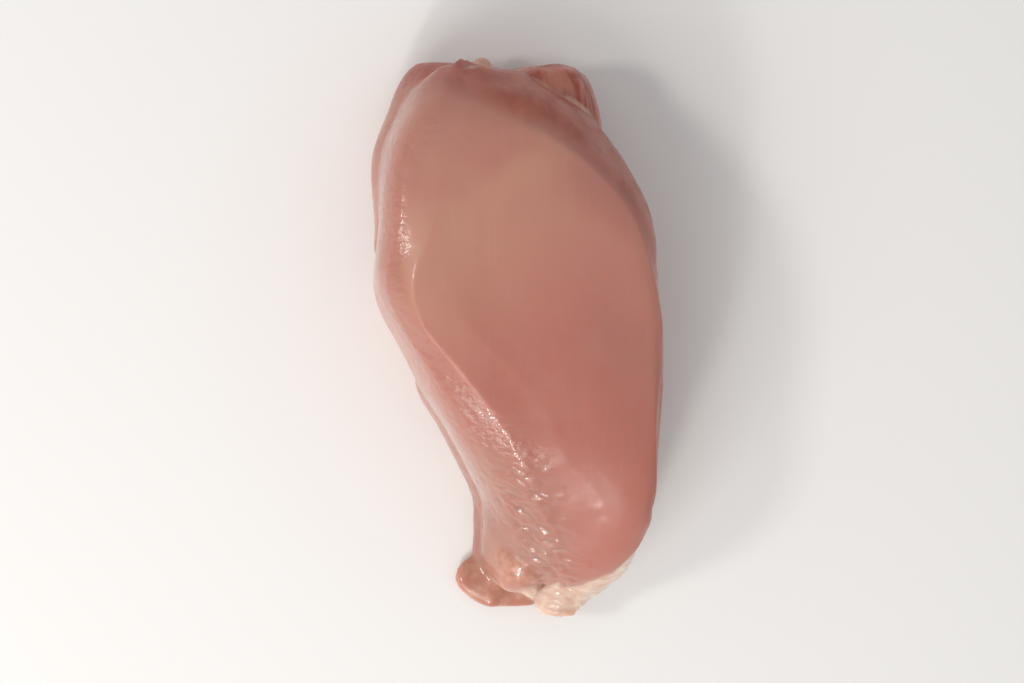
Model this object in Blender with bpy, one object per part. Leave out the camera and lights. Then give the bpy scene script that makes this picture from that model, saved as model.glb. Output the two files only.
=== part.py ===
"""A raw chicken thigh, boned and skinned, folded round the place of its bone and lying smooth side up.

The meat is one solid. It is worked out the way the cut is made up: an outer sheet of muscle wrapped over the
bone-side muscles, with a fold and a roll on its left side, a ragged flap, loose tissue at the knee, and pads of fat
at its ends and edges, all fused into one body.
X is across the thigh, Y runs from the narrow knee end (-Y) to the broad hip end (+Y), and Z is up.
The origin is on the surface that it rests on, at the middle of the thigh's box.
"""

import math

import bmesh
import bpy
from mathutils import Matrix, Vector, noise

MM = 0.001

# Driving sizes of the whole thigh.
HALF_LENGTH = 50.0 * MM
PRESSED_HEIGHT = 34.0 * MM  # the top has been pressed flat at this height
PRESSED_CROWN = 1.8 * MM  # and stands this much higher at the middle than at the sides
RIGHT_SOFTNESS = 1.4 * MM  # how gently the sides round over into the flat top
LEFT_SOFTNESS = 5.4 * MM
FLOOR_SOFTNESS = 1.0 * MM
FLOOR_CUT = 0.35 * MM  # the foot is flat up to here

# The folded thigh from above and from the side, in millimetres, before its two ends are closed:
# y, middle, half width, underside, top, how much higher the top is on the right than in the middle,
# and how square its shoulders are on the right and on the left (2 is an ellipse).
ENVELOPE_MM = (
    (-50, 6.2, 12.8, -1.5, 13.5, 1.5, 2.6, 2.2),
    (-44, 7.9, 15.4, -4.0, 18.5, 4.0, 2.8, 2.2),
    (-38, 8.6, 15.5, -5.0, 24.5, 6.0, 3.2, 2.3),
    (-30, 8.4, 15.4, -5.5, 31.0, 5.5, 3.8, 2.4),
    (-18, 5.1, 17.5, -5.5, 36.5, 3.0, 4.4, 2.5),
    (-6, 1.7, 20.9, -6.0, 39.0, 1.0, 4.6, 2.6),
    (7, -0.9, 24.8, -6.0, 40.0, 0.0, 4.2, 2.7),
    (20, -0.7, 24.4, -6.0, 39.5, -1.0, 3.2, 2.8),
    (32, -2.9, 22.0, -5.5, 37.0, -2.0, 2.7, 2.8),
    (41, -4.2, 17.4, -4.0, 31.5, -2.5, 2.5, 2.6),
    (50, -6.5, 12.0, 0.0, 22.0, -2.0, 2.4, 2.4),
)
LOWER_SQUARENESS = 2.15
END_BLUNTNESS = 7.0
END_FULLNESS = 0.975  # past this share of its half length the section shrinks no further

# The fused mesh.
RINGS = 64
SECTION_POINTS = 96
VOXEL = 0.9 * MM
SMOOTHING_PASSES = 3
TRIANGLES = 9000

MEAT_COLOUR = (0.47, 0.20, 0.15, 1.0)
MEAT_ROUGHNESS = 0.32


def power(value, exponent):
    """A power that keeps the sign, for the corners of a superellipse."""
    return math.copysign(abs(value) ** exponent, value)


def smooth_step(low, high, value):
    """0 below low, 1 above high, and an S curve between them."""
    share = min(1.0, max(0.0, (value - low) / (high - low)))
    return share * share * (3.0 - 2.0 * share)


def bump(centre, width, value):
    """1 at the centre, falling off like a bell."""
    return math.exp(-(((value - centre) / width) ** 2))


def along(stations, y):
    """The values at y of a table of stations, joined by smooth curves. Each station is (y, value, value, ...)."""
    last = len(stations) - 1
    if y <= stations[0][0]:
        return stations[0][1:]
    if y >= stations[last][0]:
        return stations[last][1:]
    i = next(k for k in range(last) if y <= stations[k + 1][0])
    before, low, high, after = (stations[min(max(k, 0), last)] for k in (i - 1, i, i + 1, i + 2))
    t = (y - low[0]) / (high[0] - low[0])
    found = []
    for a, b, c, d in zip(before[1:], low[1:], high[1:], after[1:]):
        found.append(b + t * ((c - a) + t * ((2 * a - 5 * b + 4 * c - d) + t * (3 * b - a - 3 * c + d))) / 2)
    return found


def end_rounding(share, blunt):
    """How much is left of a section's size towards either end. A larger blunt keeps its size for longer."""
    return max(0.0, 1.0 - abs(share) ** blunt) ** (1.0 / blunt)


def section(y):
    """The folded thigh's cross-section at y: middle, half width, centre height, half height, lean and squareness."""
    middle, half, low, high, lean, right, left = along(ENVELOPE_MM, y / MM)
    size = end_rounding(min(abs(y) / HALF_LENGTH, END_FULLNESS), END_BLUNTNESS)
    centre, reach = (low + high) / 2, (high - low) / 2 * size
    return middle * MM, half * size * MM, centre * MM, reach * MM, lean * MM, right, left


def envelope_point(y, angle, depth):
    """The point at y and at an angle about Y, from +X up and over, that lies depth under the thigh's outer form."""
    middle, half, centre, reach, lean, right, left = section(y)
    squareness = right if math.cos(angle) > 0 else left
    if math.sin(angle) < 0:
        squareness = LOWER_SQUARENESS
    across = power(math.cos(angle), 2 / squareness)
    up = power(math.sin(angle), 2 / squareness)
    z = centre + max(0.0, reach - depth) * up
    return Vector((middle + max(0.0, half - depth) * across, y, z + lean * across * (1 + up) / 2))


def ball(rings, points):
    """A unit ball whose rings are cross-sections of the thigh: its poles lie on Y."""
    made = bmesh.new()
    bmesh.ops.create_uvsphere(made, u_segments=points, v_segments=rings, radius=1.0)
    bmesh.ops.rotate(made, verts=made.verts, cent=(0, 0, 0), matrix=Matrix.Rotation(math.radians(90), 3, "X"))
    return made


def round_section(co):
    """(share of the length, across, up) of a point of the ball."""
    reach = math.hypot(co.x, co.z)
    if reach < 1e-9:
        return co.y, 0.0, 0.0
    return co.y, co.x / reach, co.z / reach


def wrapped_sheet(y_ends, angle_ends, thickness, sink, blunt=5.0, edge=3.0, fray=0.0):
    """A sheet of muscle or fat laid round the thigh's form.

    y_ends(angle) gives where it ends along Y, angle_ends(y) where it ends round the section, in degrees, and
    sink(y, angle) how deep its face lies under the form. blunt squares its outline, edge its rim, and fray is how
    far its lower edge on the right strays, in degrees."""
    made = ball(RINGS, SECTION_POINTS)
    first, final = y_ends(90)
    for vert in made.verts:
        share, across, up = round_section(vert.co)
        low, high = angle_ends((first + final) / 2 + share * (final - first) / 2)
        angle = (low + high) / 2 - power(across, 2 / edge) * end_rounding(share, blunt) * (high - low) / 2
        start, stop = y_ends(angle)
        y = (start + stop) / 2 + share * (stop - start) / 2
        angle += fray * max(0.0, across) ** 6 * noise.noise((y / (4.2 * MM), 2.2, 0.0))
        depth = sink(y, angle) + thickness * (1 - power(up, 2 / edge) * end_rounding(share, 9.0)) / 2
        vert.co = envelope_point(y, math.radians(angle), depth)
    return made


def lobe(centre, radii, turn=(0, 0, 0), square=2.2):
    """A plump muscle or a lump of fat: centre and radii in millimetres, turned by degrees about X, Y and Z."""
    made = ball(24, 32)
    for vert in made.verts:
        share, across, up = round_section(vert.co)
        size = end_rounding(share, square)
        side = size * power(across, 2 / square)
        rise = size * power(up, 2 / square)
        vert.co = Vector((radii[0] * side, radii[1] * share, radii[2] * rise)) * MM
    for axis, degrees in zip("XYZ", turn):
        spin = Matrix.Rotation(math.radians(degrees), 3, axis)
        bmesh.ops.rotate(made, verts=made.verts, cent=(0, 0, 0), matrix=spin)
    bmesh.ops.translate(made, verts=made.verts, vec=Vector(centre) * MM)
    return made


def ragged(angle, size, wavelength=14.0):
    """How far an uneven edge strays at an angle."""
    return size * MM * (noise.noise((angle / wavelength, 3.7, 0.0)) + 0.5 * noise.noise((angle / 5.0, 9.1, 0.0)))


def drift(co, wavelength):
    """Which way soft meat strays at a point: a shove that changes slowly from place to place.

    wavelength is in millimetres."""
    at = co / (wavelength * MM)
    return Vector([noise.noise(at + Vector((7.3 * way, 2.9, 5.1))) for way in (1, 2, 3)])


def crumpled(body, size, wavelength):
    """A body put out of shape, both sizes in millimetres."""
    for vert in body.verts:
        vert.co += drift(vert.co, wavelength) * size * MM
    return body


def furrows(y, angle):
    """How deep the outer muscle dips where its heads meet, in millimetres."""
    mm = y / MM
    upper = bump(192 + 9 * math.sin(mm / 24 + 0.8), 6, angle) * smooth_step(-46, -28, mm)
    lower = bump(206 + 10 * math.sin(mm / 17 + 2.4), 6, angle) * smooth_step(40, 26, mm)
    right = bump(24 + 8 * math.sin(mm / 16 + 1.0), 7, angle) * bump(-22, 20, mm)
    return 1.1 * upper + 1.3 * lower + 0.9 * right


def outer_sheet():
    """The smooth outer muscle: over the top, round the left side and tucked under, and down the right side."""

    def y_ends(angle):
        knee = -43.0 + 10.0 * (1 - smooth_step(20, 92, angle)) - 4.5 * smooth_step(84, 126, angle)
        hip = 48.3 - 5.0 * (1 - smooth_step(0, 75, angle)) - 6.0 * smooth_step(130, 215, angle)
        return knee * MM + ragged(angle, 1.6), hip * MM + ragged(angle + 400, 2.0)

    def angle_ends(y):
        mm = y / MM
        lip = 2 - 24 * (mm / 45) ** 2 + 7 * math.sin(mm / 11 + 0.6) + 2.5 * math.sin(mm / 4.3)
        hem = 238 + 14 * math.sin(mm / 15 + 1) + 6 * math.sin(mm / 5.5)
        return lip, hem

    def sink(y, angle):
        curl = -1.2 * bump(14, 16, angle) - 1.6 * bump(218, 14, angle)
        return (curl + furrows(y, angle)) * MM

    return wrapped_sheet(y_ends, angle_ends, 8.5 * MM, sink, edge=4.0, fray=7.0)


def core():
    """The bone-side muscles inside the fold: long bundles, with the groove where the bone was between them."""
    made = ball(RINGS, SECTION_POINTS)
    for vert in made.verts:
        share, across, up = round_section(vert.co)
        y = share * 47.0 * MM
        angle = math.degrees(math.atan2(up, across))
        groove = 3.2 * bump(-44 + 10 * math.sin(y / (26 * MM)), 9, angle)
        seam = 3.2 * bump(-112 + 8 * math.sin(y / (20 * MM)), 8, angle)
        hollow = 2.6 * bump(-8, 22, angle) * bump(2 * MM, 34 * MM, y)
        vert.co = envelope_point(y, math.radians(angle), (3.4 + groove + seam + hollow) * MM)
    return made


def heads():
    """The rounded ends of the two bone-side muscles, which show past the sheet at the hip end."""
    right = lobe((4.6, 34.6, 11.4), (11.4, 14.6, 10.2), turn=(7, 0, -6), square=2.6)
    left = lobe((-10.6, 34.6, 10.4), (8.8, 13.6, 9.4), turn=(2, 0, 4), square=2.5)
    return [crumpled(right, 1.8, 16), crumpled(left, 1.6, 13)]


def hip_fat():
    """The knob of fat between the two heads."""
    return lobe((-4.4, 42.5, 7.6), (3.0, 7.6, 4.6), turn=(0, 0, 8), square=2.2)


def side_fat():
    """The strip of fat under the outer sheet's edge on the right."""

    def angle_ends(y):
        return -14 - 22 * (y / (45 * MM)) ** 2 + 6 * math.sin(y / (8 * MM)), 24

    def sink(y, angle):
        return (3.4 + 0.9 * math.sin(y / (6 * MM)) - 0.7 * math.sin(y / (2.9 * MM))) * MM

    return wrapped_sheet(lambda angle: (-34 * MM, 36 * MM), angle_ends, 4.5 * MM, sink, edge=2.6)


def knee_cut(angle):
    """Where the flap's ragged cut runs, along Y, at an angle round the section."""
    return (-46.0 + 14.0 * (1 - smooth_step(0, 82, angle))) * MM + ragged(angle, 2.2, 9.0)


def flap():
    """The thin end of the outer sheet, drawn down over the knee end and cut ragged."""

    def sink(y, angle):
        return (3.4 * smooth_step(-34, -20, y / MM) + 3.0 * smooth_step(82, 110, angle) - 0.4) * MM

    return wrapped_sheet(lambda angle: (knee_cut(angle), -14 * MM), lambda y: (-8, 116), 3.0 * MM, sink, edge=3.5)


def knee_fat():
    """The pad of fat that shows beyond the ragged edge of the flap."""

    def y_ends(angle):
        return (-52.6 + 3.6 * (1 - smooth_step(5, 80, angle))) * MM + ragged(angle + 90, 0.8), -26 * MM

    def sink(y, angle):
        under_flap = smooth_step(-1.2, 1.2, (y - knee_cut(angle)) / MM)
        return (0.8 + 2.2 * under_flap + 2.5 * smooth_step(80, 112, angle)) * MM

    return wrapped_sheet(y_ends, lambda y: (-30, 118), 6.0 * MM, sink, edge=2.6)


def hip_fold():
    """The broad end of the outer sheet, doubled down over itself on the left, with its edge running aslant."""

    def y_ends(angle):
        return (34 - 0.42 * (angle - 150)) * MM + ragged(angle, 3.0), 48.5 * MM

    def sink(y, angle):
        return (3.6 * (1 - smooth_step(166, 202, angle)) - 1.9) * MM

    return wrapped_sheet(y_ends, lambda y: (156, 238), 7 * MM, sink, blunt=4.0, edge=3.0)


def left_roll():
    """The fold of the outer sheet that rolls under along the left side, towards the knee."""

    def y_ends(angle):
        return -47.5 * MM, (12 - 0.45 * (angle - 150)) * MM + ragged(angle + 60, 2.0)

    def sink(y, angle):
        return (0.6 * smooth_step(-28, 6, y / MM) + 2.8 * (1 - smooth_step(172, 200, angle)) - 1.2) * MM

    return wrapped_sheet(y_ends, lambda y: (164, 240), 7 * MM, sink, blunt=3.6, edge=2.8)


def tail():
    """Loose tissue drawn out at the knee: a tongue on the left, and the neck that it hangs from."""
    tongue = lobe((1.0, -46.3, 2.7), (5.2, 10.8, 2.6), turn=(3, 0, 98), square=2.3)
    neck = lobe((1.6, -37.5, 7.6), (7.4, 11.0, 7.2), turn=(-24, 0, 6), square=2.4)
    return [crumpled(tongue, 1.5, 6.0), crumpled(neck, 0.9, 9.0)]


def nub():
    """The pale end of a tendon, where the membrane gathers."""
    return crumpled(lobe((2.9, -46.4, 11.0), (1.8, 3.0, 2.4), turn=(28, 0, 14)), 0.6, 2.5)


def soft_floor(value, softness):
    """value, held above 0 with a rounded turn."""
    if value > 12 * softness:
        return value
    return softness * math.log1p(math.exp(value / softness))


def uneven(co):
    """A point moved as soft meat is: nothing on it is straight or level."""
    return co + (drift(co, 40) * 2.2 + drift(co, 15) * 0.9) * MM


def press_at(co):
    """How far a point stands above the pressed top, and how gently the top rounds over there."""
    flat = PRESSED_HEIGHT - PRESSED_CROWN * ((co.x / (26 * MM)) ** 2 + (co.y / (45 * MM)) ** 2)
    leftness = smooth_step(16, -8, (co.x + 0.4 * co.y) / MM)
    return co.z - flat, RIGHT_SOFTNESS + (LEFT_SOFTNESS - RIGHT_SOFTNESS) * leftness


def pressed(co):
    """A point held between the pressed top and the surface that the thigh lies on."""
    above, softness = press_at(co)
    z = co.z - above - soft_floor(-above, softness)
    return Vector((co.x, co.y, soft_floor(z, FLOOR_SOFTNESS)))


def new_object(shape, name):
    """An object in the scene made from a bmesh, which is used up."""
    mesh = bpy.data.meshes.new(name)
    shape.to_mesh(mesh)
    shape.free()
    made = bpy.data.objects.new(name, mesh)
    bpy.context.scene.collection.objects.link(made)
    return made


def worked_out(thing):
    """The bmesh of an object with its modifiers worked in. The object is removed."""
    shape = bmesh.new()
    shape.from_object(thing, bpy.context.evaluated_depsgraph_get())
    bpy.data.objects.remove(thing)
    return shape


def fuse(bodies):
    """One closed skin over all the bodies."""
    joined = bmesh.new()
    for body in bodies:
        scrap = bpy.data.meshes.new("scrap")
        body.to_mesh(scrap)
        body.free()
        joined.from_mesh(scrap)
        bpy.data.meshes.remove(scrap)
    for vert in joined.verts:
        vert.co = uneven(vert.co)
    meat = new_object(joined, "meat")
    skin = meat.modifiers.new("Skin", "REMESH")
    skin.mode = "VOXEL"
    skin.voxel_size = VOXEL
    soften = meat.modifiers.new("Soften", "SMOOTH")
    soften.factor = 0.5
    soften.iterations = SMOOTHING_PASSES
    return worked_out(meat)


def thinned(shape):
    """The same skin with fewer triangles."""
    bmesh.ops.triangulate(shape, faces=shape.faces)
    share = TRIANGLES / len(shape.faces)
    meat = new_object(shape, "meat")
    thin = meat.modifiers.new("Thin", "DECIMATE")
    thin.ratio = share
    return worked_out(meat)


def cut_foot(shape):
    """Cuts the underside flat, which closes it again, and puts the flat foot at height 0."""
    everything = shape.verts[:] + shape.edges[:] + shape.faces[:]
    bmesh.ops.bisect_plane(
        shape, geom=everything, dist=1e-7, plane_co=(0, 0, FLOOR_CUT), plane_no=(0, 0, -1), clear_outer=True
    )
    rim = [edge for edge in shape.edges if edge.is_boundary]
    bmesh.ops.triangle_fill(shape, edges=rim, use_beauty=True, normal=(0, 0, -1))
    bmesh.ops.translate(shape, verts=shape.verts, vec=(0, 0, -FLOOR_CUT))


def centre_on_box(shape):
    """Puts the origin under the middle of the thigh's box."""
    xs = [vert.co.x for vert in shape.verts]
    ys = [vert.co.y for vert in shape.verts]
    middle = Vector(((min(xs) + max(xs)) / 2, (min(ys) + max(ys)) / 2, 0))
    bmesh.ops.translate(shape, verts=shape.verts, vec=-middle)


def meat_material():
    made = bpy.data.materials.new("raw chicken meat")
    made.use_nodes = True
    shader = made.node_tree.nodes["Principled BSDF"]
    shader.inputs["Base Color"].default_value = MEAT_COLOUR
    shader.inputs["Roughness"].default_value = MEAT_ROUGHNESS
    return made


def main():
    for thing in list(bpy.data.objects):
        bpy.data.objects.remove(thing)
    sheets = [outer_sheet(), flap(), hip_fold(), left_roll()]
    fat = [side_fat(), knee_fat(), hip_fat(), nub()]
    shape = fuse(sheets + [core()] + heads() + fat + tail())
    for vert in shape.verts:
        vert.co = pressed(vert.co)
    shape = thinned(shape)
    cut_foot(shape)
    centre_on_box(shape)
    thigh = new_object(shape, "thigh")
    thigh.data.shade_smooth()
    thigh.data.materials.append(meat_material())


main()
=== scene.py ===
"""The looks of a raw chicken thigh, boned and skinned, folded and lying smooth side up.

The skin is worked out from the same forms and sizes as the solid, only finer, with the creases, the fibres
and the lobules of fat as relief. It carries attributes that tell its material where each tissue and finish
lies.

X is across the thigh, Y runs from the narrow knee end (-Y) to the broad hip end (+Y), and Z is up.
"""

import math

import bmesh
import bpy
import numpy as np
from mathutils import Matrix, Vector, noise
from mathutils.bvhtree import BVHTree


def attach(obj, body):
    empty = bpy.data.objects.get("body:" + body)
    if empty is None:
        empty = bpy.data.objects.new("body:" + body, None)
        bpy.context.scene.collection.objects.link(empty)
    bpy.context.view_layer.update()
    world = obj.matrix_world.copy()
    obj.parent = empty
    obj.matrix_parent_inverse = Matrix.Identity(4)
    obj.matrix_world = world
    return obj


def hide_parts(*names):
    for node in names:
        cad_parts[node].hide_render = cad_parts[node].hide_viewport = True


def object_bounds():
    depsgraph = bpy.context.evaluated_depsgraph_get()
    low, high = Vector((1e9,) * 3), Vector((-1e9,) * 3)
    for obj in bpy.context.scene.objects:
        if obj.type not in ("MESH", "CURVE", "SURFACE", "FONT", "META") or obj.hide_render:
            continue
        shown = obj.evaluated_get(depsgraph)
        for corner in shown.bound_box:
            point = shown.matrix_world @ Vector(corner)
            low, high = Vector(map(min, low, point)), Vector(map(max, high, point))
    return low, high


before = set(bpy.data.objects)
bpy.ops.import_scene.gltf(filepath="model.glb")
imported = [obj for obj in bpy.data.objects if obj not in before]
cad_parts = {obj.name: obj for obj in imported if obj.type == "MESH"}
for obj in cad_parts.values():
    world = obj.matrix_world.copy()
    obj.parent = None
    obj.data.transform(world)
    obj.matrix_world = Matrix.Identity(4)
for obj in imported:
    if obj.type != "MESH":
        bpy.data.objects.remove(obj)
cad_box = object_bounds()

MM = 0.001

# Driving sizes of the whole thigh, the same as the solid's.
HALF_LENGTH = 50.0 * MM
PRESSED_HEIGHT = 34.0 * MM  # the top has been pressed flat at this height
PRESSED_CROWN = 1.8 * MM  # and stands this much higher at the middle than at the sides
RIGHT_SOFTNESS = 1.4 * MM  # how gently the sides round over into the flat top
LEFT_SOFTNESS = 5.4 * MM
FLOOR_SOFTNESS = 1.0 * MM
FLOOR_CUT = 0.35 * MM  # the foot is flat up to here

# The folded thigh from above and from the side, in millimetres, before its two ends are closed:
# y, middle, half width, underside, top, how much higher the top is on the right than in the middle,
# and how square its shoulders are on the right and on the left (2 is an ellipse).
ENVELOPE_MM = (
    (-50, 6.2, 12.8, -1.5, 13.5, 1.5, 2.6, 2.2),
    (-44, 7.9, 15.4, -4.0, 18.5, 4.0, 2.8, 2.2),
    (-38, 8.6, 15.5, -5.0, 24.5, 6.0, 3.2, 2.3),
    (-30, 8.4, 15.4, -5.5, 31.0, 5.5, 3.8, 2.4),
    (-18, 5.1, 17.5, -5.5, 36.5, 3.0, 4.4, 2.5),
    (-6, 1.7, 20.9, -6.0, 39.0, 1.0, 4.6, 2.6),
    (7, -0.9, 24.8, -6.0, 40.0, 0.0, 4.2, 2.7),
    (20, -0.7, 24.4, -6.0, 39.5, -1.0, 3.2, 2.8),
    (32, -2.9, 22.0, -5.5, 37.0, -2.0, 2.7, 2.8),
    (41, -4.2, 17.4, -4.0, 31.5, -2.5, 2.5, 2.6),
    (50, -6.5, 12.0, 0.0, 22.0, -2.0, 2.4, 2.4),
)
LOWER_SQUARENESS = 2.15
END_BLUNTNESS = 7.0
END_FULLNESS = 0.975  # past this share of its half length the section shrinks no further

# The fused skin, and how far inside the solid's box it is brought.
RINGS = 110
SECTION_POINTS = 160
LOBE_RINGS = 48
LOBE_POINTS = 64
VOXEL = 0.465 * MM
SMOOTHING_PASSES = 7
INSIDE_BOX = 0.9995

# How deep the fine relief is, in millimetres.
FIBRE_HEIGHT = 0.03
DIMPLE_HEIGHT = 0.10
RIM_HEIGHT = 0.16
COARSE_FIBRE_HEIGHT = 0.16
BUNDLE_HEIGHT = 0.30
CREASE_HEIGHT = 0.36
FILM_CREASE_HEIGHT = 0.02
LOBULE_HEIGHT = 0.22
LOBULE_SIZE = 2.1

# How wide a tissue's edge is, in millimetres, and over how many passes it is evened out.
TISSUE_EDGES = {"fat": (0.5, 3), "bone_side": (0.6, 6), "tongue": (0.6, 8)}

# The attributes that the skin carries: nearness to the hip end, how beige it is, the three tissues, how far
# it was pressed, how dull and flat it lies, how deep in a crease, and the membrane: its milky film, at the
# knee, and on the crest of the left side.
# The film also holds a painted highlight: a pale line along the rim on the right.
ATTRIBUTES = ("hip", "pale", "fat", "bone_side", "tongue", "press", "flat", "crease", "film", "knee", "crest")

# Ways for a pattern to run: stretch along each axis, and turn about Z in degrees.
WAYS = {
    "even": ((1.0, 1.0, 1.0), 0.0),
    "with the fibres": ((1.0, 0.08, 1.0), 6.0),
    "along the folds": ((0.6, 1.0, 0.8), -16.0),
}

# Patterns in the meat: the way, the size in millimetres, detail and roughness. The single fibres of a thigh
# are under 0.1 mm and too fine to show, so "fibre" and "grain" are drawn as coarse as bundles of them.
PATTERNS = {
    "fibre": ("with the fibres", 1.1, 4.0, 0.60),
    "streak": ("with the fibres", 3.2, 3.0, 0.55),  # broad bundles, some paler and some redder
    "blotch": ("even", 9.0, 3.0, 0.55),  # redder and paler spots in the muscle
    "patch": ("even", 24.0, 2.0, 0.50),  # slow changes over the whole muscle
    "speck": ("even", 2.2, 3.0, 0.60),  # lobules of fat, and flecks in the membrane
    "marbling": ("even", 6.0, 3.0, 0.60),  # muscle that shows through thin fat
    "damp": ("even", 2.4, 3.0, 0.60),  # where the juice lies thick or thin
    "grain": ("even", 1.1, 4.0, 0.65),
    "crinkle": ("along the folds", 1.3, 2.0, 0.50),  # fine creases of the membrane
}

# Shares that a pattern or attribute gives by a smooth step: what is read, from and to, and the shares there.
S_CURVE = {"interpolation_type": "SMOOTHSTEP"}
SHARES = {
    "patchy": ("patch", 0.40, 0.62, 0.0, 0.7),
    "blotchy": ("blotch", 0.42, 0.70, 0.0, 0.25),
    "streaky": ("streak", 0.50, 0.75, 0.0, 0.08),
    "fibrous": ("fibre", 0.52, 0.75, 0.0, 0.10),
    "red streaks": ("streak", 0.35, 0.65, 0.0, 1.0),
    "flank mottling": ("blotch", 0.30, 0.70, 0.55, 0.95),
    "milkiness": ("speck", 0.25, 0.75, 0.45, 0.85),
    "film mottling": ("blotch", 0.35, 0.65, 0.0, 1.0),
    "muscle streaks": ("streak", 0.38, 0.66, 0.0, 1.0),
    "tongue specks": ("speck", 0.40, 0.65, 0.0, 1.0),
    "fat specks": ("speck", 0.35, 0.65, 0.0, 1.0),
    "fat cover": ("marbling", 0.36, 0.58, 0.97, 0.68),
    "edge": ("crease", 0.10, 0.28, 0.0, 1.0),
    "edge mottling": ("blotch", 0.40, 0.62, 0.0, 0.55),
    # Painted shade in the creases: how much the deepest ones are darkened.
    "crease shade": ("crease", 0.45, 1.0, 0.0, 0.85),
    "roughness": ("damp", 0.30, 0.70, 0.28, 0.46),
    "juice": ("flat", 0.0, 1.0, 0.95, 0.30),
    "fibre strength": ("press", 0.20, 1.0, 0.20, 0.04),
}

# Sums on the shares and attributes, done in turn: what it gives, the operation, and its two numbers.
SUMS = (
    ("flank", "SUBTRACT", 1.0, "press"),
    # Painted shade: how much the sides that were not pressed flat are darkened and reddened.
    ("flank shade share", "MULTIPLY", "flank", "flank mottling"),
    ("milky film and rim highlight", "MULTIPLY", "film", "milkiness"),
    ("fat shown", "MULTIPLY", "fat", "fat cover"),
    ("pale edge", "MULTIPLY", "edge", "edge mottling"),
    ("off the membrane", "SUBTRACT", "flank", "knee"),
    ("pale edge", "MULTIPLY", "pale edge", "off the membrane"),
    ("pale edge", "MAXIMUM", "pale edge", 0.0),
    ("hip flank", "MULTIPLY", "flank", "hip"),
    ("dryness", "MULTIPLY", "hip flank", 0.65),
    ("wetness", "SUBTRACT", "juice", "dryness"),
    ("film crinkle", "MULTIPLY", "film", 0.12),
    ("crest crinkle", "MULTIPLY", "crest", 0.8),
    ("crinkle strength", "ADD", "film crinkle", "crest crinkle"),
)

# Colours laid over each other in turn: what it gives, the share of the second, and the two that are mixed.
TINTS = (
    ("meat", "hip", "#B27062", "#C28477"),
    ("meat", "pale", "meat", "#BE8B77"),
    ("meat", "patchy", "meat", "#B3766A"),
    ("meat", "blotchy", "meat", "#BC8474"),
    ("meat", "streaky", "meat", "#A4604F"),
    ("meat", "fibrous", "meat", "#C79888"),
    # Painted shade on the sides, darker and redder towards the hip end; partly also the deeper red of meat
    # that was not pressed flat.
    ("hip shade red", "red streaks", "#983E2A", "#AA5640"),
    ("flank shade red", "hip", "#B37767", "hip shade red"),
    ("meat", "flank shade share", "meat", "flank shade red"),
    ("membrane", "film mottling", "#AA8475", "#A57465"),
    # The membrane's colour, which along the rim on the right also paints a pale line: a painted highlight.
    ("meat", "milky film and rim highlight", "meat", "membrane"),
    ("red muscle", "muscle streaks", "#A04C3C", "#C07C6A"),
    ("meat", "bone_side", "meat", "red muscle"),
    ("loose tissue", "tongue specks", "#B67D69", "#C3917C"),
    ("meat", "tongue", "meat", "loose tissue"),
    ("cream fat", "fat specks", "#E4CEBA", "#DABBA6"),
    ("meat", "fat shown", "meat", "cream fat"),
    ("meat", "pale edge", "meat", "#D9BBA4"),
    # Painted shade: the deepest creases darkened to a dark red.
    ("meat", "crease shade", "meat", "#6E261C"),
)

# Fine relief in the finish: the pattern, its strength and its depth in metres.
FINISH_RELIEF = (
    ("fibre", "fibre strength", 0.12 * MM),
    ("crinkle", "crinkle strength", 0.4 * MM),
    ("grain", 0.12, 0.1 * MM),
)

# The light: the room's colour and strength, and soft square boxes, each with its place, side and watts.
ROOM_COLOUR = "#F4F4F6"
ROOM_STRENGTH = 0.56
LAMP_COLOUR = (1.0, 0.985, 0.96)
LAMP_TARGET = (0.0, 0.0, 0.02)
LAMPS = {
    "key": ((-0.42, -0.50, 0.55), 0.50, 3.1),
    "window": ((-0.50, 0.02, 0.50), 0.10, 1.0),
    "low window": ((-0.28, -0.52, 0.42), 0.08, 0.9),
}

# The camera looks nearly straight down, from a little to the left.
CAMERA_TARGET = (0.0, 0.0, 0.016)
CAMERA_OFFSET = (-0.071, 0.023, 0.450)
LENS = 89


def power(value, exponent):
    """A power that keeps the sign, for the corners of a superellipse."""
    return math.copysign(abs(value) ** exponent, value)


def smooth_step(low, high, value):
    """0 below low, 1 above high, and an S curve between them."""
    share = min(1.0, max(0.0, (value - low) / (high - low)))
    return share * share * (3.0 - 2.0 * share)


def bump(centre, width, value):
    """1 at the centre, falling off like a bell."""
    return math.exp(-(((value - centre) / width) ** 2))


def along(stations, y):
    """The values at y of a table of stations, joined by smooth curves.

    Each station is (y, value, value, ...)."""
    last = len(stations) - 1
    if y <= stations[0][0]:
        return stations[0][1:]
    if y >= stations[last][0]:
        return stations[last][1:]
    i = next(k for k in range(last) if y <= stations[k + 1][0])
    before, low, high, after = (stations[min(max(k, 0), last)] for k in (i - 1, i, i + 1, i + 2))
    t = (y - low[0]) / (high[0] - low[0])
    found = []
    for a, b, c, d in zip(before[1:], low[1:], high[1:], after[1:]):
        found.append(b + t * ((c - a) + t * ((2 * a - 5 * b + 4 * c - d) + t * (3 * b - a - 3 * c + d))) / 2)
    return found


def end_rounding(share, blunt):
    """How much is left of a section's size towards either end. A larger blunt keeps its size for longer."""
    return max(0.0, 1.0 - abs(share) ** blunt) ** (1.0 / blunt)


def section(y):
    """The folded thigh's cross-section at y.

    Gives its middle, half width, centre height, half height, lean, and squareness on the right and left."""
    middle, half, low, high, lean, right, left = along(ENVELOPE_MM, y / MM)
    size = end_rounding(min(abs(y) / HALF_LENGTH, END_FULLNESS), END_BLUNTNESS)
    centre, reach = (low + high) / 2, (high - low) / 2 * size
    return middle * MM, half * size * MM, centre * MM, reach * MM, lean * MM, right, left


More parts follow.
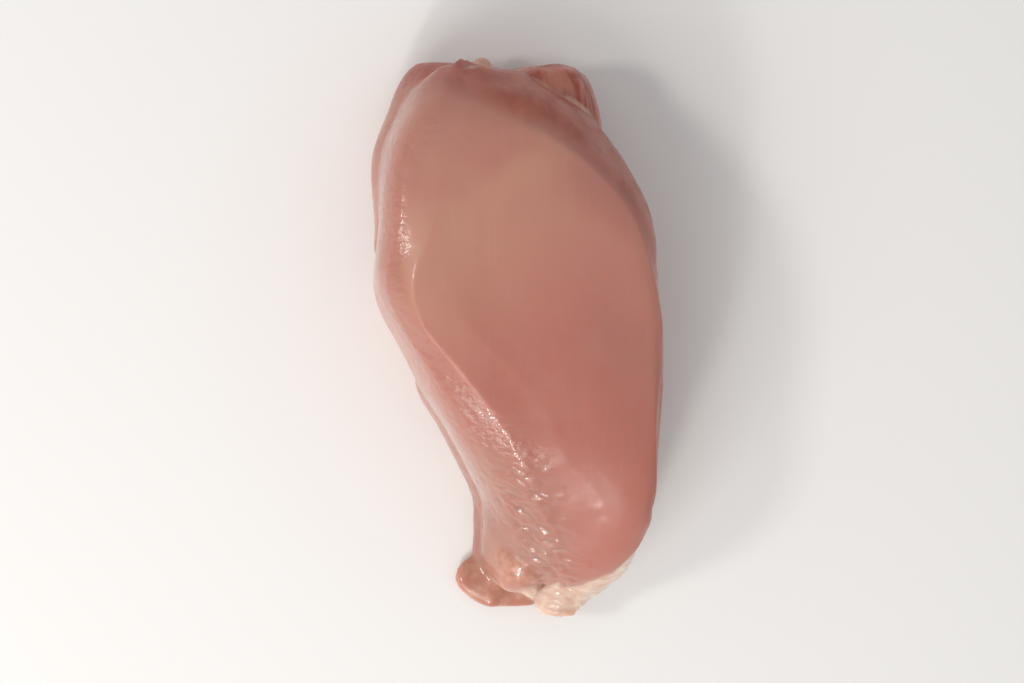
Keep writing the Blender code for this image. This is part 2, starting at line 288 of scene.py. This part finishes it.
def envelope_point(y, angle, depth):
    """The point at y and at an angle about Y, from +X up and over, that lies depth under the outer form."""
    middle, half, centre, reach, lean, right, left = section(y)
    squareness = right if math.cos(angle) > 0 else left
    if math.sin(angle) < 0:
        squareness = LOWER_SQUARENESS
    across = power(math.cos(angle), 2 / squareness)
    up = power(math.sin(angle), 2 / squareness)
    z = centre + max(0.0, reach - depth) * up
    return Vector((middle + max(0.0, half - depth) * across, y, z + lean * across * (1 + up) / 2))


def ball(rings, points):
    """A unit ball whose rings are cross-sections of the thigh: its poles lie on Y."""
    made = bmesh.new()
    bmesh.ops.create_uvsphere(made, u_segments=points, v_segments=rings, radius=1.0)
    bmesh.ops.rotate(made, verts=made.verts, cent=(0, 0, 0), matrix=Matrix.Rotation(math.radians(90), 3, "X"))
    return made


def round_section(co):
    """(share of the length, across, up) of a point of the ball."""
    reach = math.hypot(co.x, co.z)
    if reach < 1e-9:
        return co.y, 0.0, 0.0
    return co.y, co.x / reach, co.z / reach


def wrapped_sheet(y_ends, angle_ends, thickness, sink, blunt=5.0, edge=3.0, fray=0.0):
    """A sheet of muscle or fat laid round the thigh's form.

    y_ends(angle) gives where it ends along Y, angle_ends(y) where it ends round the section, in degrees,
    and sink(y, angle) how deep its face lies under the form. blunt squares its outline, edge its rim, and
    fray is how far its lower edge on the right strays, in degrees."""
    made = ball(RINGS, SECTION_POINTS)
    first, final = y_ends(90)
    for vert in made.verts:
        share, across, up = round_section(vert.co)
        low, high = angle_ends((first + final) / 2 + share * (final - first) / 2)
        angle = (low + high) / 2 - power(across, 2 / edge) * end_rounding(share, blunt) * (high - low) / 2
        start, stop = y_ends(angle)
        y = (start + stop) / 2 + share * (stop - start) / 2
        angle += fray * max(0.0, across) ** 6 * noise.noise((y / (4.2 * MM), 2.2, 0.0))
        depth = sink(y, angle) + thickness * (1 - power(up, 2 / edge) * end_rounding(share, 9.0)) / 2
        vert.co = envelope_point(y, math.radians(angle), depth)
    return made


def lobe(centre, radii, turn=(0, 0, 0), square=2.2):
    """A plump muscle or a lump of fat: centre and radii in millimetres, turned by degrees about X, Y and Z."""
    made = ball(LOBE_RINGS, LOBE_POINTS)
    for vert in made.verts:
        share, across, up = round_section(vert.co)
        size = end_rounding(share, square)
        side = size * power(across, 2 / square)
        rise = size * power(up, 2 / square)
        vert.co = Vector((radii[0] * side, radii[1] * share, radii[2] * rise)) * MM
    for axis, degrees in zip("XYZ", turn):
        spin = Matrix.Rotation(math.radians(degrees), 3, axis)
        bmesh.ops.rotate(made, verts=made.verts, cent=(0, 0, 0), matrix=spin)
    bmesh.ops.translate(made, verts=made.verts, vec=Vector(centre) * MM)
    return made


def ragged(angle, size, wavelength=14.0):
    """How far an uneven edge strays at an angle."""
    broad = noise.noise((angle / wavelength, 3.7, 0.0))
    fine = noise.noise((angle / 5.0, 9.1, 0.0))
    return size * MM * (broad + 0.5 * fine)


def drift(co, wavelength):
    """Which way soft meat strays at a point: a shove that changes slowly from place to place.

    wavelength is in millimetres."""
    at = co / (wavelength * MM)
    return Vector([noise.noise(at + Vector((7.3 * way, 2.9, 5.1))) for way in (1, 2, 3)])


def crumpled(body, size, wavelength):
    """A body put out of shape, both sizes in millimetres."""
    for vert in body.verts:
        vert.co += drift(vert.co, wavelength) * size * MM
    return body


def furrows(y, angle):
    """How deep the outer muscle dips where its heads meet, in millimetres."""
    mm = y / MM
    upper = bump(192 + 9 * math.sin(mm / 24 + 0.8), 6, angle) * smooth_step(-46, -28, mm)
    lower = bump(206 + 10 * math.sin(mm / 17 + 2.4), 6, angle) * smooth_step(40, 26, mm)
    right = bump(24 + 8 * math.sin(mm / 16 + 1.0), 7, angle) * bump(-22, 20, mm)
    return 1.1 * upper + 1.3 * lower + 0.9 * right


def outer_sheet():
    """The smooth outer muscle: over the top, round the left side and tucked under, and down the right side."""

    def y_ends(angle):
        knee = -43.0 + 10.0 * (1 - smooth_step(20, 92, angle)) - 4.5 * smooth_step(84, 126, angle)
        hip = 48.3 - 5.0 * (1 - smooth_step(0, 75, angle)) - 6.0 * smooth_step(130, 215, angle)
        return knee * MM + ragged(angle, 1.6), hip * MM + ragged(angle + 400, 2.0)

    def angle_ends(y):
        mm = y / MM
        lip = 2 - 24 * (mm / 45) ** 2 + 7 * math.sin(mm / 11 + 0.6) + 2.5 * math.sin(mm / 4.3)
        hem = 238 + 14 * math.sin(mm / 15 + 1) + 6 * math.sin(mm / 5.5)
        return lip, hem

    def sink(y, angle):
        curl = -1.2 * bump(14, 16, angle) - 1.6 * bump(218, 14, angle)
        return (curl + furrows(y, angle)) * MM

    return wrapped_sheet(y_ends, angle_ends, 8.5 * MM, sink, edge=4.0, fray=7.0)


def core():
    """The bone-side muscles inside the fold: long bundles, with the groove where the bone was between them."""
    made = ball(RINGS, SECTION_POINTS)
    for vert in made.verts:
        share, across, up = round_section(vert.co)
        y = share * 47.0 * MM
        angle = math.degrees(math.atan2(up, across))
        groove = 3.2 * bump(-44 + 10 * math.sin(y / (26 * MM)), 9, angle)
        seam = 3.2 * bump(-112 + 8 * math.sin(y / (20 * MM)), 8, angle)
        hollow = 2.6 * bump(-8, 22, angle) * bump(2 * MM, 34 * MM, y)
        vert.co = envelope_point(y, math.radians(angle), (3.4 + groove + seam + hollow) * MM)
    return made


def heads():
    """The rounded ends of the two bone-side muscles, which show past the sheet at the hip end."""
    right = lobe((4.6, 34.6, 11.4), (11.4, 14.6, 10.2), turn=(7, 0, -6), square=2.6)
    left = lobe((-10.6, 34.6, 10.4), (8.8, 13.6, 9.4), turn=(2, 0, 4), square=2.5)
    return [crumpled(right, 1.8, 16), crumpled(left, 1.6, 13)]


def hip_fat():
    """The knob of fat between the two heads."""
    return lobe((-4.4, 42.5, 7.6), (3.0, 7.6, 4.6), turn=(0, 0, 8), square=2.2)


def side_fat():
    """The strip of fat under the outer sheet's edge on the right."""

    def angle_ends(y):
        return -14 - 22 * (y / (45 * MM)) ** 2 + 6 * math.sin(y / (8 * MM)), 24

    def sink(y, angle):
        return (3.4 + 0.9 * math.sin(y / (6 * MM)) - 0.7 * math.sin(y / (2.9 * MM))) * MM

    return wrapped_sheet(lambda angle: (-34 * MM, 36 * MM), angle_ends, 4.5 * MM, sink, edge=2.6)


def knee_cut(angle):
    """Where the flap's ragged cut runs, along Y, at an angle round the section."""
    return (-46.0 + 14.0 * (1 - smooth_step(0, 82, angle))) * MM + ragged(angle, 2.2, 9.0)


def flap():
    """The thin end of the outer sheet, drawn down over the knee end and cut ragged."""

    def y_ends(angle):
        return knee_cut(angle), -14 * MM

    def sink(y, angle):
        return (3.4 * smooth_step(-34, -20, y / MM) + 3.0 * smooth_step(82, 110, angle) - 0.4) * MM

    return wrapped_sheet(y_ends, lambda y: (-8, 116), 3.0 * MM, sink, edge=3.5)


def knee_fat():
    """The pad of fat that shows beyond the ragged edge of the flap."""

    def y_ends(angle):
        return (-52.6 + 3.6 * (1 - smooth_step(5, 80, angle))) * MM + ragged(angle + 90, 0.8), -26 * MM

    def sink(y, angle):
        under_flap = smooth_step(-1.2, 1.2, (y - knee_cut(angle)) / MM)
        return (0.8 + 2.2 * under_flap + 2.5 * smooth_step(80, 112, angle)) * MM

    return wrapped_sheet(y_ends, lambda y: (-30, 118), 6.0 * MM, sink, edge=2.6)


def hip_fold():
    """The broad end of the outer sheet, doubled down over itself on the left, with its edge running aslant."""

    def y_ends(angle):
        return (34 - 0.42 * (angle - 150)) * MM + ragged(angle, 3.0), 48.5 * MM

    def sink(y, angle):
        return (3.6 * (1 - smooth_step(166, 202, angle)) - 1.9) * MM

    return wrapped_sheet(y_ends, lambda y: (156, 238), 7 * MM, sink, blunt=4.0, edge=3.0)


def left_roll():
    """The fold of the outer sheet that rolls under along the left side, towards the knee."""

    def y_ends(angle):
        return -47.5 * MM, (12 - 0.45 * (angle - 150)) * MM + ragged(angle + 60, 2.0)

    def sink(y, angle):
        return (0.6 * smooth_step(-28, 6, y / MM) + 2.8 * (1 - smooth_step(172, 200, angle)) - 1.2) * MM

    return wrapped_sheet(y_ends, lambda y: (164, 240), 7 * MM, sink, blunt=3.6, edge=2.8)


def tail():
    """Loose tissue drawn out at the knee: a tongue on the left, and the neck that it hangs from."""
    tongue = lobe((1.0, -46.3, 2.7), (5.2, 10.8, 2.6), turn=(3, 0, 98), square=2.3)
    neck = lobe((1.6, -37.5, 7.6), (7.4, 11.0, 7.2), turn=(-24, 0, 6), square=2.4)
    return [crumpled(tongue, 1.5, 6.0), crumpled(neck, 0.9, 9.0)]


def nub():
    """The pale end of a tendon, where the membrane gathers."""
    return crumpled(lobe((2.9, -46.4, 11.0), (1.8, 3.0, 2.4), turn=(28, 0, 14)), 0.6, 2.5)


def soft_floor(value, softness):
    """value, held above 0 with a rounded turn."""
    if value > 12 * softness:
        return value
    return softness * math.log1p(math.exp(value / softness))


def uneven(co):
    """A point moved as soft meat is: nothing on it is straight or level."""
    return co + (drift(co, 40) * 2.2 + drift(co, 15) * 0.9) * MM


def press_at(co):
    """How far a point stands above the pressed top, and how gently the top rounds over there."""
    flat = PRESSED_HEIGHT - PRESSED_CROWN * ((co.x / (26 * MM)) ** 2 + (co.y / (45 * MM)) ** 2)
    leftness = smooth_step(16, -8, (co.x + 0.4 * co.y) / MM)
    return co.z - flat, RIGHT_SOFTNESS + (LEFT_SOFTNESS - RIGHT_SOFTNESS) * leftness


def pressed(co):
    """A point held between the pressed top and the surface that the thigh lies on."""
    above, softness = press_at(co)
    z = co.z - above - soft_floor(-above, softness)
    return Vector((co.x, co.y, soft_floor(z, FLOOR_SOFTNESS)))


def new_object(shape, name):
    """An object in the scene made from a bmesh, which is used up."""
    mesh = bpy.data.meshes.new(name)
    shape.to_mesh(mesh)
    shape.free()
    made = bpy.data.objects.new(name, mesh)
    bpy.context.scene.collection.objects.link(made)
    return made


def worked_out(thing):
    """The bmesh of an object with its modifiers worked in. The object is removed."""
    shape = bmesh.new()
    shape.from_object(thing, bpy.context.evaluated_depsgraph_get())
    bpy.data.objects.remove(thing)
    return shape


def joined(bodies):
    """One bmesh that holds all the bodies, moved as soft meat is."""
    together = bmesh.new()
    for body in bodies:
        scrap = bpy.data.meshes.new("scrap")
        body.to_mesh(scrap)
        together.from_mesh(scrap)
        bpy.data.meshes.remove(scrap)
    for vert in together.verts:
        vert.co = uneven(vert.co)
    return together


def fuse(bodies):
    """One closed skin over all the bodies."""
    meat = new_object(joined(bodies), "meat")
    skin = meat.modifiers.new("Skin", "REMESH")
    skin.mode = "VOXEL"
    skin.voxel_size = VOXEL
    soften = meat.modifiers.new("Soften", "SMOOTH")
    soften.factor = 0.5
    soften.iterations = SMOOTHING_PASSES
    return worked_out(meat)


def distances(shape, bodies):
    """How far each point of the skin is from the nearest of some bodies, in millimetres."""
    surface = joined(bodies)
    tree = BVHTree.FromBMesh(surface)
    surface.free()
    return np.array([tree.find_nearest(vert.co)[3] / MM for vert in shape.verts])


def blurred(values, edges, passes):
    """Values on the points, evened out over the mesh."""
    a, b = edges[:, 0], edges[:, 1]
    count = len(values)
    share = np.bincount(np.concatenate((a, b)), minlength=count).astype(float)
    for _ in range(passes):
        total = np.bincount(a, values[b], count) + np.bincount(b, values[a], count)
        values = 0.5 * values + 0.5 * total / share
    return values


def tissue(far, kind, edges):
    """Where a tissue shows, from 0 to 1: where its own bodies are nearer to the skin than all the others."""
    width, passes = TISSUE_EDGES[kind]
    others = np.minimum.reduce([values for other, values in far.items() if other != kind])
    return blurred(np.clip((others - far[kind]) / width * 0.5 + 0.5, 0, 1), edges, passes)


def press_top(shape):
    """Presses the skin's top flat.

    Gives for each point how far it was pressed and how far it lay under the pressed height, in millimetres,
    and how near it is to the tight rim on the right, which stands a little proud."""
    found = []
    for vert in shape.verts:
        above, softness = press_at(vert.co)
        x, y, z = (value / MM for value in vert.co)
        tight = smooth_step(-6, 8, x + 0.6 * y) * smooth_step(-24, -8, y)
        vert.co = pressed(vert.co)
        found.append((z - vert.co.z / MM, -above / MM, bump(0.2, 0.5, above / softness) * tight))
    shape.normal_update()
    return np.array(found).T


def hollows(places, normals, edges):
    """How deep in a crease each point lies, in millimetres. It is below 0 on a ridge."""
    evened = np.stack([blurred(places[:, k], edges, 60) for k in range(3)], axis=1)
    return blurred(((evened - places) * normals).sum(axis=1) / MM, edges, 2)


def surroundings(x, y, under):
    """How far a place, in millimetres, lies in the membrane at the knee, on the crest of the left side, in the
    gathered creases at the knee, and on the flap where it is pressed, each from 0 to 1."""
    membrane = smooth_step(-12, -32, y + 0.55 * x) * smooth_step(13, 3, x + 0.25 * (y + 40))
    crest = smooth_step(-2.5, 1.0, under) * smooth_step(15, 6, under)
    crest *= smooth_step(1, -7, x + 0.35 * min(y, 0.0)) * smooth_step(44, 26, y) * smooth_step(-28, -18, y)
    gathered = smooth_step(-19, -27, y) * bump(-2.5 - 0.45 * (y + 24), 5.0, x)
    on_flap = smooth_step(1, 7, x) * smooth_step(-12, -21, y) * smooth_step(15, 7, under)
    return membrane, crest, gathered, on_flap


def fine_forms(x, y, z):
    """The height of each fine form at a place in millimetres: fibres, bundles, dimples, creases, lobules."""
    fibre = noise.noise((x / 1.3, y / 15.0, z / 1.3)) + 0.5 * noise.noise((x / 0.7 + 9, y / 9.0, z / 0.7))
    bundle = noise.noise((x / 3.0, y / 22.0 + 5, z / 3.0))
    dimple = noise.noise((x / 7.0, y / 9.0, z / 7.0 + 2))
    along_fold, across_fold = x - 0.3 * y, y + 0.3 * x
    crinkle = abs(noise.noise((along_fold / 3.6, across_fold / 1.5, z / 2.0))) * 2 - 0.5
    crinkle += 0.5 * (abs(noise.noise((along_fold / 2.0, across_fold / 0.9 + 7, z / 1.2))) * 2 - 0.5)
    lobule = 0.45 - noise.voronoi(Vector((x, y, z)) / LOBULE_SIZE)[0][0]
    return fibre, bundle, dimple, crinkle, lobule


def build_meat():
    """The thigh's skin with its fine relief, and with the attributes that its material reads."""
    bodies = {
        "muscle": [outer_sheet(), flap(), hip_fold(), left_roll()],
        "bone_side": [core()] + heads(),
        "fat": [side_fat(), knee_fat(), hip_fat(), nub()],
        "tongue": tail(),
    }
    everything = [body for kind in bodies.values() for body in kind]
    shape = fuse(everything)
    shape.verts.ensure_lookup_table()
    far = {kind: distances(shape, parts) for kind, parts in bodies.items()}
    for body in everything:
        body.free()
    press, under, rim = press_top(shape)

    edges = np.array([[vert.index for vert in edge.verts] for edge in shape.edges])
    fat, core_meat, tongue = (tissue(far, kind, edges) for kind in ("fat", "bone_side", "tongue"))
    places = np.array([vert.co[:] for vert in shape.verts])
    normals = np.array([vert.normal[:] for vert in shape.verts])
    crease = hollows(places, normals, edges)
    spots = (places / MM).tolist()
    around = [surroundings(x, y, depth) for (x, y, z), depth in zip(spots, under)]
    membrane, crest, gathered, on_flap = np.array(around).T
    fibre, bundle, dimple, crinkle, lobule = np.array([fine_forms(*spot) for spot in spots]).T

    press = np.clip(press / 1.2, 0, 1)
    # The rim's share of the film paints a pale line along the right edge of the pressed top: a painted
    # highlight.
    film = np.maximum.reduce([membrane, 0.40 * crest, 0.4 * rim]) * (1 - core_meat) * (1 - 0.8 * tongue)
    lift = (FIBRE_HEIGHT * fibre + DIMPLE_HEIGHT * dimple) * (1 - 0.85 * press) + RIM_HEIGHT * rim
    lift += core_meat * (COARSE_FIBRE_HEIGHT * fibre + BUNDLE_HEIGHT * bundle)
    lift -= CREASE_HEIGHT * gathered * crinkle
    lift -= FILM_CREASE_HEIGHT * np.maximum(membrane, crest) * crinkle * (1 - gathered)
    lift += fat * LOBULE_HEIGHT * lobule
    for vert, height in zip(shape.verts, lift):
        vert.co += vert.normal * float(height) * MM

    hip = np.array([smooth_step(-12, 44, y + 0.8 * x) for x, y, z in spots])
    pale = np.array([smooth_step(-8, 38, y - 0.9 * x) for x, y, z in spots]) * (1 - 0.7 * crest)
    level = np.array([smooth_step(1.2, -1.8, depth) for depth in under])
    flat = np.maximum(level, 0.85 * on_flap * (1 - fat))
    thin_fat = fat * np.array([1 - 0.32 * smooth_step(-36, -24, y) for x, y, z in spots])
    crease = np.clip(crease / 0.8, -1, 1)
    found = (hip, pale, thin_fat, core_meat, tongue, press, flat, crease, film, membrane, crest)
    for name, values in zip(ATTRIBUTES, found):
        layer = shape.verts.layers.float.new(name)
        for vert, value in zip(shape.verts, values):
            vert[layer] = float(value)
    fit_into_box(shape)
    meat = new_object(shape, "thigh_meat")
    meat.data.shade_smooth()
    return meat


def fit_into_box(shape):
    """Makes the foot flat, and brings the skin just inside the solid's box."""
    low, high = Vector(cad_box[0]), Vector(cad_box[1])
    for vert in shape.verts:
        vert.co.z = max(vert.co.z - FLOOR_CUT, 0.0)
    for k in range(3):
        values = [vert.co[k] for vert in shape.verts]
        own_low, own_high = min(values), max(values)
        scale = (high[k] - low[k]) / (own_high - own_low) * INSIDE_BOX
        middle = (high[k] + low[k]) / 2
        for vert in shape.verts:
            if k < 2:
                vert.co[k] = middle + (vert.co[k] - (own_low + own_high) / 2) * scale
            else:
                vert.co[k] = vert.co[k] * scale


def lin(hex_colour):
    """An sRGB hex colour turned linear, with full alpha."""
    parts = [int(hex_colour[i:i + 2], 16) / 255 for i in (1, 3, 5)]
    return tuple(v / 12.92 if v <= 0.04045 else ((v + 0.055) / 1.055) ** 2.4 for v in parts) + (1.0,)


def node(tree, kind, settings, feeds):
    """Adds a node. settings are its properties, and feeds give its sockets values or other nodes' outputs."""
    made = tree.nodes.new(kind)
    for name, value in settings.items():
        setattr(made, name, value)
    for name, value in feeds.items():
        if isinstance(value, bpy.types.NodeSocket):
            tree.links.new(value, made.inputs[name])
        else:
            made.inputs[name].default_value = value
    return made


def meat_material():
    """Raw poultry muscle, wet: translucent pink under a clear, glossy film of juice, cream where it is fat."""
    made = bpy.data.materials.new("wet raw chicken")
    made.use_nodes = True
    tree = made.node_tree
    shader = tree.nodes["Principled BSDF"]
    known = {name: node(tree, "ShaderNodeAttribute", {"attribute_name": name}, {}).outputs["Fac"]
             for name in ATTRIBUTES}

    place = node(tree, "ShaderNodeTexCoord", {}, {}).outputs["Object"]
    ways = {}
    for name, (scale, turn) in WAYS.items():
        feeds = {"Vector": place, "Scale": scale, "Rotation": (0.0, 0.0, math.radians(turn))}
        ways[name] = node(tree, "ShaderNodeMapping", {}, feeds).outputs["Vector"]
    for name, (way, size, detail, roughness) in PATTERNS.items():
        feeds = {"Vector": ways[way], "Scale": 1 / (size * MM), "Detail": detail, "Roughness": roughness}
        known[name] = node(tree, "ShaderNodeTexNoise", {}, feeds).outputs["Fac"]
    for name, (source, *ends) in SHARES.items():
        feeds = {"Value": known[source], **dict(zip(("From Min", "From Max", "To Min", "To Max"), ends))}
        known[name] = node(tree, "ShaderNodeMapRange", S_CURVE, feeds).outputs["Result"]
    for name, operation, first, second in SUMS:
        feeds = {0: known.get(first, first), 1: known.get(second, second)}
        known[name] = node(tree, "ShaderNodeMath", {"operation": operation}, feeds).outputs["Value"]
    for name, share, *tones in TINTS:
        below, above = (lin(tone) if tone.startswith("#") else known[tone] for tone in tones)
        feeds = {0: known[share], 6: below, 7: above}  # sockets 6 and 7 are the two colours
        known[name] = node(tree, "ShaderNodeMix", {"data_type": "RGBA"}, feeds).outputs[2]
    normal = None
    for pattern, strength, depth in FINISH_RELIEF:
        feeds = {"Height": known[pattern], "Strength": known.get(strength, strength), "Distance": depth}
        if normal:
            feeds["Normal"] = normal
        normal = node(tree, "ShaderNodeBump", {}, feeds).outputs["Normal"]

    for socket, source in (("Base Color", known["meat"]), ("Roughness", known["roughness"]),
                           ("Coat Weight", known["wetness"]), ("Normal", normal), ("Coat Normal", normal)):
        tree.links.new(source, shader.inputs[socket])
    shader.inputs["IOR"].default_value = 1.38
    shader.inputs["Subsurface Weight"].default_value = 0.7
    shader.inputs["Subsurface Radius"].default_value = (1.0, 0.36, 0.22)
    shader.inputs["Subsurface Scale"].default_value = 0.0030
    shader.inputs["Coat Roughness"].default_value = 0.07
    shader.inputs["Coat IOR"].default_value = 1.34
    return made


def floor():
    """A pale painted board under the thigh: matt, so that it takes a soft shadow and shows no reflection."""
    made = bmesh.new()
    bmesh.ops.create_grid(made, x_segments=1, y_segments=1, size=1.5)
    board = new_object(made, "floor")
    paint = bpy.data.materials.new("matt white board")
    paint.use_nodes = True
    shader = paint.node_tree.nodes["Principled BSDF"]
    shader.inputs["Base Color"].default_value = lin("#F1EFEC")
    shader.inputs["Roughness"].default_value = 0.65
    board.data.materials.append(paint)


def light():
    """A pale room and the soft boxes, all turned towards the thigh."""
    room = bpy.data.worlds.new("studio")
    room.use_nodes = True
    background = room.node_tree.nodes["Background"]
    background.inputs["Color"].default_value = lin(ROOM_COLOUR)
    background.inputs["Strength"].default_value = ROOM_STRENGTH
    bpy.context.scene.world = room
    for name, (place, side, watts) in LAMPS.items():
        lamp = bpy.data.lights.new(name, "AREA")
        lamp.shape = "RECTANGLE"
        lamp.size = lamp.size_y = side
        lamp.energy = watts
        lamp.color = LAMP_COLOUR
        box = bpy.data.objects.new(name, lamp)
        box.location = place
        box.rotation_mode = "QUATERNION"
        box.rotation_quaternion = (Vector(LAMP_TARGET) - Vector(place)).to_track_quat("-Z", "Y")
        bpy.context.scene.collection.objects.link(box)
    bpy.context.scene.view_settings.view_transform = "Standard"


def aim_camera():
    """The camera, with the thigh's long axis upright in the picture."""
    camera = bpy.data.objects.new("camera", bpy.data.cameras.new("camera"))
    camera.data.lens = LENS
    camera.data.clip_start = 0.01
    camera.location = Vector(CAMERA_TARGET) + Vector(CAMERA_OFFSET)
    ahead = (Vector(CAMERA_TARGET) - camera.location).normalized()
    right = ahead.cross(Vector((0, 1, 0))).normalized()
    up = right.cross(ahead)
    camera.rotation_mode = "QUATERNION"
    camera.rotation_quaternion = Matrix((right, up, -ahead)).transposed().to_quaternion()
    bpy.context.scene.collection.objects.link(camera)
    bpy.context.scene.camera = camera


meat = build_meat()
meat.data.materials.append(meat_material())
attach(meat, "root")
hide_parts("thigh")
floor()
light()
aim_camera()
